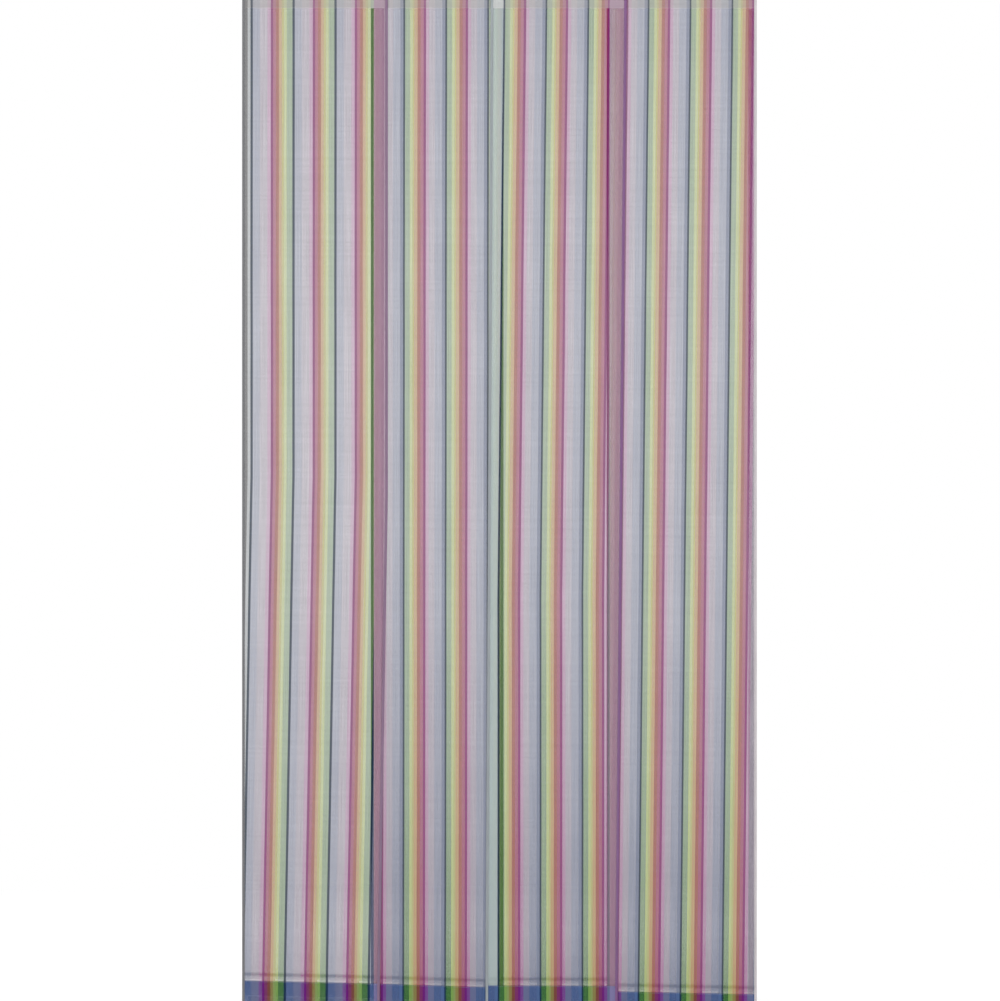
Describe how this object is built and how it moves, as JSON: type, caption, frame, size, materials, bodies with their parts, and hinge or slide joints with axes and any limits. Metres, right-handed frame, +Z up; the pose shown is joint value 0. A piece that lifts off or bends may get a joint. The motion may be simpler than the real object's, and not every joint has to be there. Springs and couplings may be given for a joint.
{
  "type": "fly curtain",
  "caption": "Striped mesh fly curtain for a doorway: overlapping weighted panels that hang from a hook and loop header tape stuck to the door frame.",
  "frame": {"origin": "centre of the adhesive strip's back face, which sticks to the door frame", "axes": "+X along the header to the viewer's right, +Y into the door frame, +Z up; the panels hang down from the header"},
  "size_m": [1, 0.0152, 2],
  "materials": {
    "striped_mesh": "open polyester mesh in narrow woven stripes, half see-through",
    "edge_binding": "narrow woven polyester tape, folded over the edge",
    "loop_tape": "white woven tape with a soft pile",
    "hook_tape": "white nylon tape with rows of small hooks",
    "adhesive": "tacky, slightly yellow adhesive layer",
    "hem_weight": "plain zinc-coated flat steel"
  },
  "bodies": {
    "door_side": {"adhesive_strip": "adhesive", "hook_tape": "hook_tape"},
    "header": {"loop_tape": "loop_tape", "heading_1": "striped_mesh", "heading_2": "striped_mesh", "heading_3": "striped_mesh", "heading_4": "striped_mesh", "heading_binding_1_left": "edge_binding", "heading_binding_1_right": "edge_binding", "heading_binding_2_left": "edge_binding", "heading_binding_2_right": "edge_binding", "heading_binding_3_left": "edge_binding", "heading_binding_3_right": "edge_binding", "heading_binding_4_left": "edge_binding", "heading_binding_4_right": "edge_binding"},
    "panel_1": {"mesh_panel_1": "striped_mesh", "hem_weight_1": "hem_weight", "edge_binding_1_left": "edge_binding", "edge_binding_1_right": "edge_binding"},
    "panel_2": {"mesh_panel_2": "striped_mesh", "hem_weight_2": "hem_weight", "edge_binding_2_left": "edge_binding", "edge_binding_2_right": "edge_binding"},
    "panel_3": {"mesh_panel_3": "striped_mesh", "hem_weight_3": "hem_weight", "edge_binding_3_left": "edge_binding", "edge_binding_3_right": "edge_binding"},
    "panel_4": {"mesh_panel_4": "striped_mesh", "hem_weight_4": "hem_weight", "edge_binding_4_left": "edge_binding", "edge_binding_4_right": "edge_binding"}
  },
  "joints": [
    {"name": "header_release", "type": "slide", "parent": "door_side", "child": "header", "axis": [0, -1, 0], "range_m": [0, 0.05]},
    {"name": "panel_1_swing", "type": "hinge", "parent": "header", "child": "panel_1", "pos_m": [-0.3585, -0.01015, -0.0205], "axis": [-1, 0, 0], "range_deg": [0, 85]},
    {"name": "panel_2_swing", "type": "hinge", "parent": "header", "child": "panel_2", "pos_m": [-0.121, -0.00785, -0.0205], "axis": [1, 0, 0], "range_deg": [0, 85]},
    {"name": "panel_3_swing", "type": "hinge", "parent": "header", "child": "panel_3", "pos_m": [0.115, -0.01015, -0.0205], "axis": [-1, 0, 0], "range_deg": [0, 85]},
    {"name": "panel_4_swing", "type": "hinge", "parent": "header", "child": "panel_4", "pos_m": [0.354, -0.00785, -0.0205], "axis": [1, 0, 0], "range_deg": [0, 85]}
  ]
}
